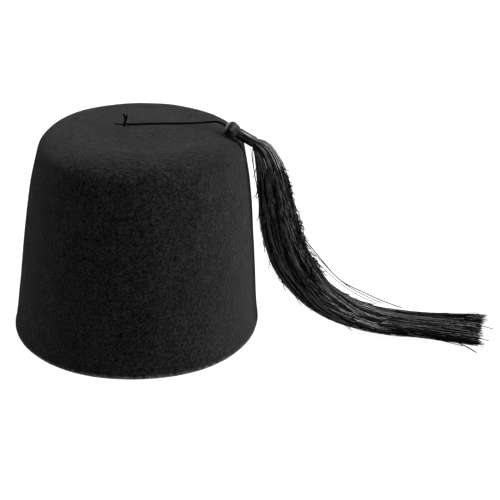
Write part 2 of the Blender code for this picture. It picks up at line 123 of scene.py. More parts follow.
# at, thick and wide
SKIRT_SECTIONS = [
    (0.000, 0.23, 0.23),
    (0.026, 0.48, 0.40),
    (0.058, 0.62, 0.45),
    (0.148, 0.82, 0.51),
    (0.270, 1.00, 0.58),
    (0.378, 1.04, 0.74),
    (0.504, 0.86, 1.00),
    (0.583, 0.72, 1.16),
    (0.650, 0.54, 1.26),
    (0.786, 0.40, 1.30),
    (0.943, 0.36, 1.66),
    (1.000, 0.33, 1.88),
]

# Camera, at the photograph's angle
CAMERA_PLACE = (0.07851, -0.77516, 0.37355)
CAMERA_PITCH = 22.546
CAMERA_ROLL = 2.236
CAMERA_LENS = 85.81

SEED = 11


# Curves and tables

def column(table, index):
    """One column of a table, as an array."""
    return np.array([row[index] for row in table])


def smooth_between(table, index, x):
    """A smooth curve through one column over the first, which doesn't overshoot between rows."""
    xs = column(table, 0)
    ys = column(table, index)
    steps = np.diff(ys) / np.diff(xs)
    slopes = np.zeros(len(xs))
    for i in range(1, len(xs) - 1):
        if steps[i - 1] * steps[i] > 0:
            slopes[i] = 2 * steps[i - 1] * steps[i] / (steps[i - 1] + steps[i])
    slopes[0] = steps[0]
    slopes[-1] = steps[-1]
    i = np.clip(np.searchsorted(xs, x) - 1, 0, len(xs) - 2)
    width = xs[i + 1] - xs[i]
    t = (x - xs[i]) / width
    start = (1 + 2 * t) * (1 - t) ** 2 * ys[i] + t * (1 - t) ** 2 * width * slopes[i]
    end = t * t * (3 - 2 * t) * ys[i + 1] + t * t * (t - 1) * width * slopes[i + 1]
    return start + end


def smooth_curve(points, steps=16):
    """A smooth curve through points, as many short steps."""
    ends = [points[0] * 2 - points[1]] + list(points) + [points[-1] * 2 - points[-2]]
    curve = []
    for before, start, end, after in zip(ends, ends[1:], ends[2:], ends[3:]):
        knots = [0.0]
        for a, b in ((before, start), (start, end), (end, after)):
            knots.append(knots[-1] + math.sqrt((b - a).length))
        pull_start = (start - before) / knots[1] - (end - before) / knots[2]
        pull_start = (pull_start + (end - start) / (knots[2] - knots[1])) * (knots[2] - knots[1])
        pull_end = (end - start) / (knots[2] - knots[1]) - (after - start) / (knots[3] - knots[1])
        pull_end = (pull_end + (after - end) / (knots[3] - knots[2])) * (knots[2] - knots[1])
        for step in range(steps):
            t = step / steps
            curve.append(
                start * (2 * t ** 3 - 3 * t ** 2 + 1)
                + pull_start * (t ** 3 - 2 * t ** 2 + t)
                + end * (3 * t ** 2 - 2 * t ** 3)
                + pull_end * (t ** 3 - t ** 2)
            )
    curve.append(points[-1].copy())
    return curve


def lengths_along(points):
    """The length of a line up to each of its points."""
    steps = np.linalg.norm(np.diff(points, axis=0), axis=1)
    return np.concatenate([[0.0], np.cumsum(steps)])


def unit(vectors):
    """Vectors with their length made 1."""
    return vectors / (np.linalg.norm(vectors, axis=-1, keepdims=True) + 1e-12)


def even_points(curve, count):
    """Points at even lengths along a curve, as an array."""
    points = np.array([tuple(point) for point in curve])
    totals = lengths_along(points)
    places = np.linspace(0.0, totals[-1], count)
    return np.stack([np.interp(places, totals, points[:, k]) for k in range(3)], axis=1)


# The crown's shape

# A small step, in radians or in shares, for slopes and directions
NUDGE = 0.01


def wall_half_width(share):
    """Half the crown's width at a share of the wall's height."""
    return smooth_between(WALL_SECTIONS, 1, share) * RIM_WIDTH / 2


def shoulder_start_angle():
    """The angle on the shoulder's arc where it leaves the sloping wall without a kink."""
    slope = (wall_half_width(1.0) - wall_half_width(1.0 - NUDGE)) / (NUDGE * WALL_HEIGHT)
    return math.atan(-slope * SHOULDER_RISE / SHOULDER_REACH)


def shoulder_point(angle):
    """Half width and height on the shoulder's arc, where 90 degrees is the edge of the top."""
    start = shoulder_start_angle()
    middle = wall_half_width(1.0) - SHOULDER_REACH * math.cos(start)
    base = WALL_HEIGHT - SHOULDER_RISE * math.sin(start)
    return middle + SHOULDER_REACH * math.cos(angle), base + SHOULDER_RISE * math.sin(angle)


def crown_outline(wall_rings, shoulder_rings, dome_rings):
    """Half width and height of the felt's outer face, from the rim to the middle of the top."""
    rows = []
    for i in range(wall_rings):
        share = i / (wall_rings - 1)
        rows.append((float(wall_half_width(share)), share * WALL_HEIGHT))
    start = shoulder_start_angle()
    for i in range(1, shoulder_rings + 1):
        rows.append(shoulder_point(start + (math.pi / 2 - start) * i / shoulder_rings))
    edge, height = rows[-1]
    for i in range(1, dome_rings + 1):
        share = 1 - i / dome_rings
        rows.append((edge * share, height + DOME_RISE * (1 - share ** 2) ** 2))
    return rows


CROWN_HEIGHT = shoulder_point(math.pi / 2)[1] + DOME_RISE


def squared(value):
    """A sine or cosine, changed so that the circle it draws is a little square."""
    return math.copysign(abs(value) ** (2 / PLAN_SQUARENESS), value)


def crown_point(half_width, height, bearing):
    """A point on the oval crown, which leans a little towards +X."""
    lean = CROWN_LEAN * height / CROWN_HEIGHT
    x = half_width * squared(math.cos(bearing)) + lean
    y = half_width * RIM_DEPTH / RIM_WIDTH * squared(math.sin(bearing))
    return Vector((x, y, height))


def outward(half_width, height, bearing, below, above):
    """The direction straight out of the crown's face, from the rows below and above a point."""
    ahead = crown_point(half_width, height, bearing + NUDGE)
    behind = crown_point(half_width, height, bearing - NUDGE)
    up = crown_point(*above, bearing) - crown_point(*below, bearing)
    return (ahead - behind).cross(up).normalized()


OUTLINE = crown_outline(120, 72, 36)[::-1]
OUTLINE_WIDTHS = column(OUTLINE, 0)
OUTLINE_HEIGHTS = column(OUTLINE, 1)


def top_height(x, y):
    """The height of the outer face above a place in plan."""
    height = CROWN_HEIGHT
    for _ in range(4):
        across = abs(x - CROWN_LEAN * height / CROWN_HEIGHT) ** PLAN_SQUARENESS
        deep = abs(y * RIM_WIDTH / RIM_DEPTH) ** PLAN_SQUARENESS
        reach = (across + deep) ** (1 / PLAN_SQUARENESS)
        height = float(np.interp(reach, OUTLINE_WIDTHS, OUTLINE_HEIGHTS))
    return height


# Meshes

def add_piece(name, points, faces, material, replaced=()):
    """A smooth mesh that rides on the hat and takes its finish from a material slot."""
    mesh = bpy.data.meshes.new(name)
    mesh.from_pydata(points.tolist(), [], faces)
    mesh.shade_smooth()
    mesh.materials.append(material)
    piece = bpy.data.objects.new(name, mesh)
    bpy.context.scene.collection.objects.link(piece)
    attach(piece, "root")
    if replaced:
        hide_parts(*replaced)
    return piece


def add_tone(piece, tones):
    """Keep a number for each point of a piece, which its material reads."""
    layer = piece.data.attributes.new("tone", "FLOAT", "POINT")
    layer.data.foreach_set("value", np.asarray(tones, dtype=np.float32).ravel())


def grid_faces(rows, columns):
    """Quads over rows of points, each row a closed ring."""
    i, j = np.meshgrid(np.arange(rows - 1), np.arange(columns), indexing="ij")
    above = i + 1
    beside = (j + 1) % columns
    quads = np.stack([
        i * columns + j,
        i * columns + beside,
        above * columns + beside,
        above * columns + j,
    ], axis=-1)
    return quads.reshape(-1, 4)


def tube_points(lines, radii, sides, squeeze=None):
    """Rings of points round many lines at once. squeeze scales a ring's radius by its angle."""
    along = unit(np.gradient(lines, axis=1))
    beside = unit(np.cross(along, np.array([0.0, 1.0, 0.0])))
    across = np.cross(along, beside)
    turns = 2 * np.pi * np.arange(sides) / sides
    scale = radii[:, :, None] * (np.ones(sides) if squeeze is None else squeeze)
    ring = beside[:, :, None, :] * (scale * np.cos(turns))[..., None]
    ring = ring + across[:, :, None, :] * (scale * np.sin(turns))[..., None]
    return lines[:, :, None, :] + ring


def tube_faces(count, rings, sides):
    """Quads along many tubes and one face on each of their ends."""
    one = grid_faces(rings, sides)
    starts = (np.arange(count) * rings * sides)[:, None, None]
    quads = (one[None] + starts).reshape(-1, 4)
    first = np.arange(sides)[None, ::-1] + starts[:, 0]
    last = np.arange(sides)[None] + (rings - 1) * sides + starts[:, 0]
    return quads.tolist() + first.tolist() + last.tolist()


def add_tubes(name, lines, radii, sides, material, replaced, tones, squeeze=None):
    """Many closed tubes in one piece, with one tone for each tube or one for each point."""
    count, rings = lines.shape[:2]
    points = tube_points(lines, radii, sides, squeeze).reshape(-1, 3)
    piece = add_piece(name, points, tube_faces(count, rings, sides), material, replaced)
    add_tone(piece, tones if tones.ndim == 2 else np.repeat(tones, rings * sides))
    return piece


def add_barrel(name, points, material):
    """A piece over rows of points that are closed rings, with a face on each end."""
    rows, sides = points.shape[:2]
    faces = grid_faces(rows, sides).tolist()
    faces.append(list(range(sides))[::-1])
    faces.append(list(range((rows - 1) * sides, rows * sides)))
    return add_piece(name, points.reshape(-1, 3), faces, material)


# Materials

FELT_COLOUR = (0.0082, 0.0082, 0.0084)
FELT_ROUGHNESS = 0.95
# The wool that stands off the felt catches the light at a slant
FELT_SHEEN = 0.085
FELT_SHEEN_ROUGHNESS = 0.24
# Clouds, grain and fibres in the felt's colour: scale, detail and roughness of their noise, and
# the least and the most that it makes of the colour
FELT_NOISE = [
    (90.0, 6.0, 0.7, 0.65, 1.35),
    (560.0, 2.0, 0.6, 0.05, 1.95),
    (1300.0, 2.0, 0.6, 0.30, 1.70),
]
# Matted fibres as bump: scale, detail and roughness of their noise, and their height
FELT_BUMP = [
    (620.0, 3.0, 0.7, 0.0016),
    (1500.0, 2.0, 0.6, 0.0012),
]

# Kinds of thread: colour, roughness of the palest and of the darkest strands, specular level
THREADS = [
    ("satin", (0.0026, 0.0026, 0.0027), 0.22, 0.36, 0.50),
    # shaded is a darker, matt copy of the thread: painted shade for the threads deep in the bundle and
    # for its core. The loose threads use it too
    ("shaded", (0.0015, 0.0015, 0.0016), 0.50, 0.50, 0.0),
    ("dull", (0.0048, 0.0048, 0.0049), 0.50, 0.50, 0.0),
    ("bright", (0.0060, 0.0060, 0.0062), 0.20, 0.30, 0.8),
    ("wound", (0.0011, 0.0011, 0.0012), 0.22, 0.28, 0.30),
    ("cord", (0.0010, 0.0010, 0.0011), 0.50, 0.55, 0.0),
]
# Tones of the strands that have the first and the second roughness
PALE_TONE = 2.0
DARK_TONE = 0.4
# Changes of colour along a thread: scale, and the least and the most that they make of it
SHADE_SCALE = 320.0
SHADE_LOW = 0.70
SHADE_HIGH = 1.30
# The fine twist of a thread, as bump
TWIST_SCALE = 3200.0
TWIST_HEIGHT = 0.00006

FLOOR_COLOUR = (0.12, 0.12, 0.12)
FLOOR_GLOW = 0.975


def new_material(name, base, roughness, specular):
    """A material with a plain Principled shader. Returns it with its nodes and links."""
    material = bpy.data.materials.new(name)
    material.use_nodes = True
    nodes = material.node_tree.nodes
    links = material.node_tree.links
    shader = nodes["Principled BSDF"]
    shader.inputs["Base Color"].default_value = (*base, 1.0)
    shader.inputs["Roughness"].default_value = roughness
    shader.inputs["Specular IOR Level"].default_value = specular
    return material, nodes, links, shader


def add_node(nodes, kind, **values):
    """A node with values set on its inputs or on itself."""
    node = nodes.new(kind)
    for name, value in values.items():
        if name in node.inputs:
            node.inputs[name].default_value = value
        else:
            setattr(node, name, value)
    return node


def add_noise(nodes, links, scale, detail=2.0, roughness=0.5):
    """Noise in object space."""
    place = nodes.new("ShaderNodeTexCoord")
    texture = add_node(nodes, "ShaderNodeTexNoise", Scale=scale, Detail=detail, Roughness=roughness)
    links.new(place.outputs["Object"], texture.inputs["Vector"])
    return texture.outputs["Fac"]


def map_range(nodes, links, value, old, new):
    """A value stretched from one range to another."""
    node = nodes.new("ShaderNodeMapRange")
    for name, number in zip(("From Min", "From Max", "To Min", "To Max"), old + new):
        node.inputs[name].default_value = number
    links.new(value, node.inputs["Value"])
    return node.outputs["Result"]


def spread(nodes, links, value, low, high):
    """Stretch noise, which is mostly between 0.3 and 0.7, to a range."""
    return map_range(nodes, links, value, (0.3, 0.7), (low, high))


def multiply(nodes, links, *values):
    """The product of several values."""
    result = values[0]
    for value in values[1:]:
        node = add_node(nodes, "ShaderNodeMath", operation="MULTIPLY")
        links.new(result, node.inputs[0])
        links.new(value, node.inputs[1])
        result = node.outputs[0]
    return result


def paint(nodes, links, shader, colour, factor):
    """Give the shader a colour times a factor."""
    node = add_node(nodes, "ShaderNodeVectorMath", operation="SCALE")
    node.inputs[0].default_value = colour
    links.new(factor, node.inputs["Scale"])
    links.new(node.outputs["Vector"], shader.inputs["Base Color"])


def bump(nodes, links, shader, *layers):
    """Bump from several heights, each with a distance in metres."""
    normal = None
    for height, distance in layers:
        node = add_node(nodes, "ShaderNodeBump", Distance=distance)
        links.new(height, node.inputs["Height"])
        if normal is not None:
            links.new(normal, node.inputs["Normal"])
        normal = node.outputs["Normal"]
    links.new(normal, shader.inputs["Normal"])


def felt_material():
    """Matt black wool felt: clouded colour, matted fibres, a soft sheen at a slant, and painted light
    along the bottom edge of the rim.
    """
    material, nodes, links, shader = new_material("felt_wool", FELT_COLOUR, FELT_ROUGHNESS, 0.0)
    shader.inputs["Sheen Weight"].default_value = FELT_SHEEN
    shader.inputs["Sheen Roughness"].default_value = FELT_SHEEN_ROUGHNESS
    shader.inputs["Sheen Tint"].default_value = (1.0, 1.0, 1.0, 1.0)
    factors = []
    for scale, detail, roughness, low, high in FELT_NOISE:
        wool = add_noise(nodes, links, scale, detail, roughness)
        factors.append(spread(nodes, links, wool, low, high))
    # The crown's tone holds painted light from the floor along the bottom edge of the rim
    edge = add_node(nodes, "ShaderNodeAttribute", attribute_name="tone")
    factor = multiply(nodes, links, *factors, edge.outputs["Fac"])
    paint(nodes, links, shader, FELT_COLOUR, factor)
    layers = []
    for scale, detail, roughness, height in FELT_BUMP:
        layers.append((add_noise(nodes, links, scale, detail, roughness), height))
    bump(nodes, links, shader, *layers)
    return material


def thread_material(name, base, pale_roughness, dark_roughness, specular):
    """Black thread, a little different in colour and roughness from strand to strand."""
    material, nodes, links, shader = new_material(name, base, pale_roughness, specular)
    # The tone is each thread's own random tone, and on the skirt it also carries painted highlights and
    # painted shade
    tone = add_node(nodes, "ShaderNodeAttribute", attribute_name="tone")
    shade = spread(nodes, links, add_noise(nodes, links, SHADE_SCALE), SHADE_LOW, SHADE_HIGH)
    paint(nodes, links, shader, base, multiply(nodes, links, tone.outputs["Fac"], shade))
    tones = (PALE_TONE, DARK_TONE)
    rough = map_range(nodes, links, tone.outputs["Fac"], tones, (pale_roughness, dark_roughness))
    links.new(rough, shader.inputs["Roughness"])
    twist = add_noise(nodes, links, TWIST_SCALE, 1.0)
    bump(nodes, links, shader, (twist, TWIST_HEIGHT))
    return material


def floor_material():
    """A plain pale floor, bright in itself so that its shadows stay faint."""
    material, _, _, shader = new_material("pale_floor", FLOOR_COLOUR, 0.9, 0.0)
    shader.inputs["Emission Color"].default_value = (1.0, 1.0, 1.0, 1.0)
    shader.inputs["Emission Strength"].default_value = FLOOR_GLOW
    return material


# Crown piece

CROWN_SIDES = 300
# Rings on the wall, the shoulder and the top
OUTER_RINGS = (90, 44, 36)
INNER_RINGS = (46, 24, 16)
# How much of the felt's unevenness shows on its inside
INSIDE_RELIEF = 0.7
# Round the rim from inside to outside: how far in from the outer face and how far up
RIM_INSIDE = [(FELT, 0.0010), (FELT - 0.0003, 0.0003), (FELT - 0.0009, 0.0)]
RIM_OUTSIDE = [(0.0009, 0.0), (0.00045, 0.00012), (0.00012, 0.00045), (0.0, 0.0009), (0.0, 0.0013)]
# Below this height the felt is taken as upright, so that the rim's faces stay level
UPRIGHT_BELOW = 0.004
# The felt's unevenness: how fine it is, how high, and a shift that keeps its layers apart
FELT_RELIEF = [
    (22.0, 0.00045, (0.0, 0.0, 0.0)),
    (75.0, 0.00016, (3.1, 0.0, 0.0)),
    (330.0, 0.00005, (0.0, 7.3, 0.0)),
]
# Round the stem's foot: the ridge's height, place and width, and the dip's depth and width
RIDGE_HEIGHT = 0.00035
RIDGE_AT = 0.0034
RIDGE_WIDTH = 0.0016
DIP_DEPTH = 0.0007
DIP_WIDTH = 0.0019
# The felt above this height is the top, where the stem is
TOP_ABOVE = 0.130
# Painted light from the floor on the bottom edge of the rim: how much paler the felt is painted there,
# and how high that shows
RIM_PAINTED_LIGHT = 11.0
RIM_PAINTED_LIGHT_HEIGHT = 0.0007


def felt_relief(point):
    """How far the felt stands out or in at a point: broad dents and a finer unevenness."""
    total = 0.0
    for scale, height, shift in FELT_RELIEF:
        total += noise.noise(point * scale + Vector(shift)) * height
    return total


def stem_pucker(point):
    """How far the felt is drawn in round the foot of the stem, with a low ridge round that."""
    away = math.hypot(point.x - STEM_X, point.y - STEM_Y)
    ridge = RIDGE_HEIGHT * math.exp(-((away - RIDGE_AT) / RIDGE_WIDTH) ** 2)
    return ridge - DIP_DEPTH * math.exp(-(away / DIP_WIDTH) ** 2)


def felt_ring(rows, i, inset, relief, lift=0.0):
    """One ring of points round the crown, inset from the outer face and lifted."""
    before = rows[max(i - 1, 0)]
    after = rows[min(i + 1, len(rows) - 1)]
    half_width, height = rows[i]
    ring = []
    for k in range(CROWN_SIDES):
        bearing = 2 * math.pi * k / CROWN_SIDES
        point = crown_point(half_width, height, bearing)
        out = outward(max(half_width, 0.0001), height, bearing, before, after)
        if height < UPRIGHT_BELOW:
            out.z = 0.0
            out.normalize()
        move = felt_relief(point) * relief - inset
        if height > TOP_ABOVE and inset == 0.0:
            move += stem_pucker(point)
        ring.append(point + out * move + Vector((0.0, 0.0, lift)))
    return ring


def add_crown(material):
    """The felt crown, outside, rim and inside, with its own soft unevenness."""
    outer = crown_outline(*OUTER_RINGS)[:-1]
    inner = crown_outline(*INNER_RINGS)[:-1]
    rings = []
    for i in range(len(inner) - 1, 0, -1):
        rings.append(felt_ring(inner, i, FELT, INSIDE_RELIEF))
    for inset, lift in RIM_INSIDE:
        rings.append(felt_ring(outer, 0, inset, INSIDE_RELIEF, lift))
    for inset, lift in RIM_OUTSIDE:
        rings.append(felt_ring(outer, 0, inset, 1.0, lift))
    for i in range(1, len(outer)):
        rings.append(felt_ring(outer, i, 0.0, 1.0))
    points = np.array([[tuple(point) for point in ring] for ring in rings])
    rows = len(rings)
    faces = grid_faces(rows, CROWN_SIDES).tolist()
    ends = []
    for row, turned in ((0, True), (rows - 1, False)):
        index = rows * CROWN_SIDES + len(ends)
        ends.append(points[row].mean(axis=0))
        for k in range(CROWN_SIDES):
            pair = [row * CROWN_SIDES + k, row * CROWN_SIDES + (k + 1) % CROWN_SIDES]
            if turned:
                pair.reverse()
            faces.append(pair + [index])
    points = np.concatenate([points.reshape(-1, 3), np.array(ends)])
    crown = add_piece("felt_crown", points, faces, material, ["crown"])
    # Painted light: the felt is painted paler along the bottom edge, where the floor lights it
    pale = np.exp(-((points[:, 2] - RIM_PAINTED_LIGHT_HEIGHT) / RIM_PAINTED_LIGHT_HEIGHT) ** 2)
    add_tone(crown, 1.0 + RIM_PAINTED_LIGHT * pale)


# Cord and stem

def head_axis():
    """The direction of the tassel head, from the cord to the skirt."""
    dip = math.radians(HEAD_DIP)
    bearing = math.radians(HEAD_BEARING)
    level = math.cos(dip)
    return Vector((level * math.cos(bearing), level * math.sin(bearing), -math.sin(dip)))


def knob_middle():
    """The knob's middle, where it rests on the shoulder of the crown."""
    bearing = math.radians(KNOB_BEARING)
    angle = math.radians(KNOB_SEAT_ANGLE)
    seat = shoulder_point(angle)
    out = outward(*seat, bearing, shoulder_point(angle - NUDGE), shoulder_point(angle + NUDGE))
    return crown_point(*seat, bearing) + out * (KNOB_DIAMETER / 2 + GAP)


AXIS = head_axis()
HEAD_START = knob_middle() - AXIS * KNOB_LENGTH / 2
SLEEVE_START = HEAD_START + AXIS * (KNOB_LENGTH + GAP)
SLEEVE_MOUTH = SLEEVE_START + AXIS * SLEEVE_LENGTH


def cord_curve():
    """The cord's middle line, from the stem's foot over the top and into the knob."""
    radius = CORD_DIAMETER / 2
    foot = Vector((STEM_X, STEM_Y, 0))
    first = Vector((CORD_ROUTE[0][0], CORD_ROUTE[0][1], 0))
    start = foot + (first - foot).normalized() * (CORD_DIAMETER + GAP)
    places = [(start.x, start.y, 0.0)] + CORD_ROUTE
    points = [Vector((x, y, top_height(x, y) + radius + GAP + lift)) for x, y, lift in places]
    points.append(HEAD_START - AXIS * CORD_DIAMETER)
    points.append(HEAD_START + AXIS * (SOCKET_DEPTH - GAP))
    return smooth_curve(points)


# The drawn cord: points along it and round it, and its radius as a share of its diameter
CORD_RINGS = 300
CORD_SIDES = 16
CORD_FULLNESS = 0.58
# Length of one turn of the plies, and a ply's radius as a share of the cord's
CORD_TWIST = 0.0042
PLY_SIZE = 0.615


def two_ply(line):
    """How far a two-ply cord's surface is from its middle, as shares of its radius."""
    turns = 2 * np.pi * np.arange(CORD_SIDES) / CORD_SIDES
    angle = turns[None, :] + 2 * np.pi * lengths_along(line)[:, None] / CORD_TWIST
    away = 1 - PLY_SIZE
    return away * np.abs(np.cos(angle)) + np.sqrt(PLY_SIZE ** 2 - (away * np.sin(angle)) ** 2)


def add_cord(material):
    """The two-ply cord that runs from the stem to the knob."""
    line = even_points(cord_curve(), CORD_RINGS)
    radii = np.full((1, len(line)), CORD_DIAMETER * CORD_FULLNESS)
    cord = add_tubes("twisted_cord", line[None], radii, CORD_SIDES, material, ["tassel_cord"],
                     np.ones(1), two_ply(line))
    return cord, line


# Stem: turns of its plies below the fork, and how far they lie from its middle and how thick
# they are, as shares of the cord's radius
PLY_TURNS = 2.4
PLY_APART = 0.36
PLY_RADIUS = 0.98
PRONG_TIP = 0.80
# Loose fibres on each tip: how many, how thick and how far they stray
FRAYS_PER_TIP = 9
FRAY_HALF = 0.00009
FRAY_REACH = 0.00035
# The frayed tail that lies on the felt behind the stem
TAIL_LENGTH = 0.0070
TAIL_SWEEP = 0.45
TAIL_FIBRES = 4
TAIL_APART = 0.00022
TAIL_HALF = 0.00042
TAIL_TIP_HALF = 0.00016
FRAY_RINGS = 7
# The knot inside: half its cord's thickness, and the turns and tilt of each of its coils
KNOT_HALF = 0.0006
KNOT_COILS = [(2.6, 0.2), (2.2, 1.3), (2.4, 2.3)]
KNOT_STEPS = 45


def add_plies(foot, knot, fork, tips, material):
    """The stem's two plies, twisted up to the fork and then apart."""
    bulge = foot.lerp(fork, 0.5) - Vector((STEM_LEAN / 4, 0, 0))
    shaft = even_points(smooth_curve([knot, foot, bulge, fork]), 40)
    radius = CORD_DIAMETER / 2
    lines = []
    for side, tip in zip((0.0, math.pi), tips):
        places = []
        for i, point in enumerate(shaft):
            turn = side + 2 * math.pi * (i / len(shaft)) * PLY_TURNS
            out = Vector((math.cos(turn), math.sin(turn), 0)) * radius * PLY_APART
            places.append(Vector(point) + out)
        bend = fork.lerp(tip, 0.45) + Vector((0.0002 if side else -0.0003, 0.0001, 0))
        lines.append(even_points(smooth_curve(places[::4] + [bend, tip], 8), 60))
    lines = np.array(lines)
    widths = np.full(lines.shape[:2], radius * PLY_RADIUS)
    widths[:, -12:] *= np.linspace(1.0, PRONG_TIP, 12)
    add_tubes("stem_plies", lines, widths, 10, material, ["stem"], np.array([1.0, 0.9]))


def add_frays(foot, fork, tips, material):
    """Loose fibres on the stem's tips, and the frayed tail on the felt behind it."""
    draw = np.random.default_rng(SEED)
    frays = []
    for tip in tips:
        base = fork.lerp(tip, 0.75)
        for _ in range(FRAYS_PER_TIP):
            away = Vector(draw.normal(0, 1, 3)).normalized() * FRAY_REACH
            end = tip + away * 1.6 - Vector((0, 0, 0.0003 * draw.random()))
            end.z = min(end.z, tips[0].z + 0.0004)
            curve = smooth_curve([base, tip.lerp(base, 0.3) + away * 0.7, end])
            frays.append(even_points(curve, FRAY_RINGS))
    tail = [Vector((foot.x, foot.y, foot.z + CORD_DIAMETER / 2))]
    for share in (0.35, 0.7, 1.0):
        x = foot.x - TAIL_LENGTH * share
        y = foot.y + TAIL_LENGTH * TAIL_SWEEP * share ** 1.5
        tail.append(Vector((x, y, top_height(x, y) + 0.00035)))
    for index in range(TAIL_FIBRES):
        shift = Vector((0.0, TAIL_APART * (index - 1.5), 0.0))
        sway = Vector((0.0003 * index, 0.0005 * math.sin(index * 2.4), 0.0))
        curve = smooth_curve([tail[0], tail[1] + shift, tail[2] - shift, tail[3] + sway])
        frays.append(even_points(curve, FRAY_RINGS))
    frays = np.array(frays)
    widths = np.full(frays.shape[:2], FRAY_HALF)
    widths[-TAIL_FIBRES:] = np.linspace(TAIL_HALF, TAIL_TIP_HALF, FRAY_RINGS)
    add_tubes("stem_fray", frays, widths, 5, material, (), np.ones(len(frays)))


def add_knot(knot, material):
    """The plain knot that holds the stem below the felt."""
    coils = []
    for turn_count, tilt in KNOT_COILS:
        spin = Matrix.Rotation(tilt, 3, "Y") @ Matrix.Rotation(tilt * 1.7, 3, "X")
        coil = []
        for i in range(KNOT_STEPS + 1):
            turn = 2 * math.pi * turn_count * i / KNOT_STEPS
            place = Vector((math.cos(turn), math.sin(turn), 0.6 * (i / KNOT_STEPS - 0.5)))
            coil.append(knot + spin @ (place.normalized() * (KNOT_DIAMETER / 2 - KNOT_HALF)))
        coils.append([tuple(point) for point in coil])
    coils = np.array(coils)
    widths = np.full(coils.shape[:2], KNOT_HALF)
    add_tubes("stem_knot", coils, widths, 8, material, (), np.ones(len(coils)))


def add_stem(material):
    """The forked cord end that stands in the top, with its tail and its knot."""
    foot = Vector((STEM_X, STEM_Y, top_height(STEM_X, STEM_Y)))
    knot = foot - Vector((0, 0, FELT + GAP + KNOT_DIAMETER / 2))
    fork = foot + Vector((STEM_LEAN, 0, STEM_HEIGHT * FORK_SHARE))
    tips = [
        foot + Vector((STEM_LEAN - FORK_SPREAD, 0, STEM_HEIGHT)),
        foot + Vector((STEM_LEAN + FORK_SPREAD / 4, 0.0004, STEM_HEIGHT * SHORT_PRONG_SHARE)),
    ]
    add_plies(foot, knot, fork, tips, material)
    add_frays(foot, fork, tips, material)
    add_knot(knot, material)


# Tassel head

def around_axis(start, places, radii, turns):
    """Points round the head's axis at places along it, radii from it and turns about it."""
    side = AXIS.orthogonal().normalized()
    other = AXIS.cross(side)
    frame_axes = np.array([tuple(AXIS), tuple(side), tuple(other)])
    return (
        np.array(tuple(start))
        + places[..., None] * frame_axes[0]
        + (radii * np.cos(turns))[..., None] * frame_axes[1]
        + (radii * np.sin(turns))[..., None] * frame_axes[2]
    )


# The knob's outline: place along it and radius, as shares of its length and of its radius
KNOB_OUTLINE = [
    (0.00, 0.24),
    (0.04, 0.44),
    (0.11, 0.66),
    (0.22, 0.87),
    (0.33, 0.97),
    (0.45, 1.00),
    (0.57, 0.99),
    (0.68, 0.95),
    (0.79, 0.88),
    (0.89, 0.78),
    (0.97, 0.69),
    (1.10, 0.64),
]
# The knob's threads run on to here, under the sleeve
KNOB_THREADS_TO = 1.10
KNOB_THREADS = 46
KNOB_THREAD_HALF = 0.00036
WINDING_HALF = 0.00025
# How tall the wound thread is for its width, because it is pulled tight
WINDING_FLATNESS = 0.45
WINDING_SIDES = 8
# How much narrower the sleeve is at its middle
SLEEVE_WAIST = 0.045


def knob_radius(share):
    """The knob's radius at a share of its length."""
    return smooth_between(KNOB_OUTLINE, 1, share) * KNOB_DIAMETER / 2


def add_knob(material):
    """The knob: threads folded over the head, side by side from the cord to the sleeve."""
    rings = 34
    half = KNOB_THREAD_HALF
    shares = KNOB_THREADS_TO * np.linspace(0.0, 1.0, rings) ** 1.3
    places = np.tile(shares * KNOB_LENGTH, (KNOB_THREADS, 1))
    radii = np.tile(knob_radius(shares) - half, (KNOB_THREADS, 1))
    turns = 2 * np.pi * np.arange(KNOB_THREADS)[:, None] / KNOB_THREADS + 0.25 * (shares - 0.5)[None]
    draw = np.random.default_rng(SEED + 1)
    radii -= draw.random((KNOB_THREADS, 1)) * 0.00012
    turns = turns + draw.normal(0, 0.012, (KNOB_THREADS, 1))
    lines = around_axis(HEAD_START, places, radii, turns)
    widths = np.full(lines.shape[:2], half) * (0.25 + 0.75 * radii / radii.max())
    tones = draw.uniform(0.75, 1.3, KNOB_THREADS)
    threads = add_tubes("knob_threads", lines, widths, 6, material, ["tassel_knob"], tones)

    sides = 40
    shares = np.tile(np.linspace(0.03, 0.985, 30)[:, None], (1, sides))
    turns = 2 * np.pi * np.arange(sides) / sides
    points = around_axis(HEAD_START, shares * KNOB_LENGTH, knob_radius(shares) - half * 1.2, turns)
    body = add_barrel("knob_body", points, material)
    add_tone(body, np.full(points.shape[:2], 0.7))
    return [threads, body]


def sleeve_radius(place):
    """The winding's middle radius at a place along the sleeve, which has a slight waist."""
    waist = 1 - SLEEVE_WAIST * np.sin(np.pi * np.clip(place / SLEEVE_LENGTH, 0.0, 1.0))
    return SLEEVE_DIAMETER / 2 * waist - WINDING_HALF


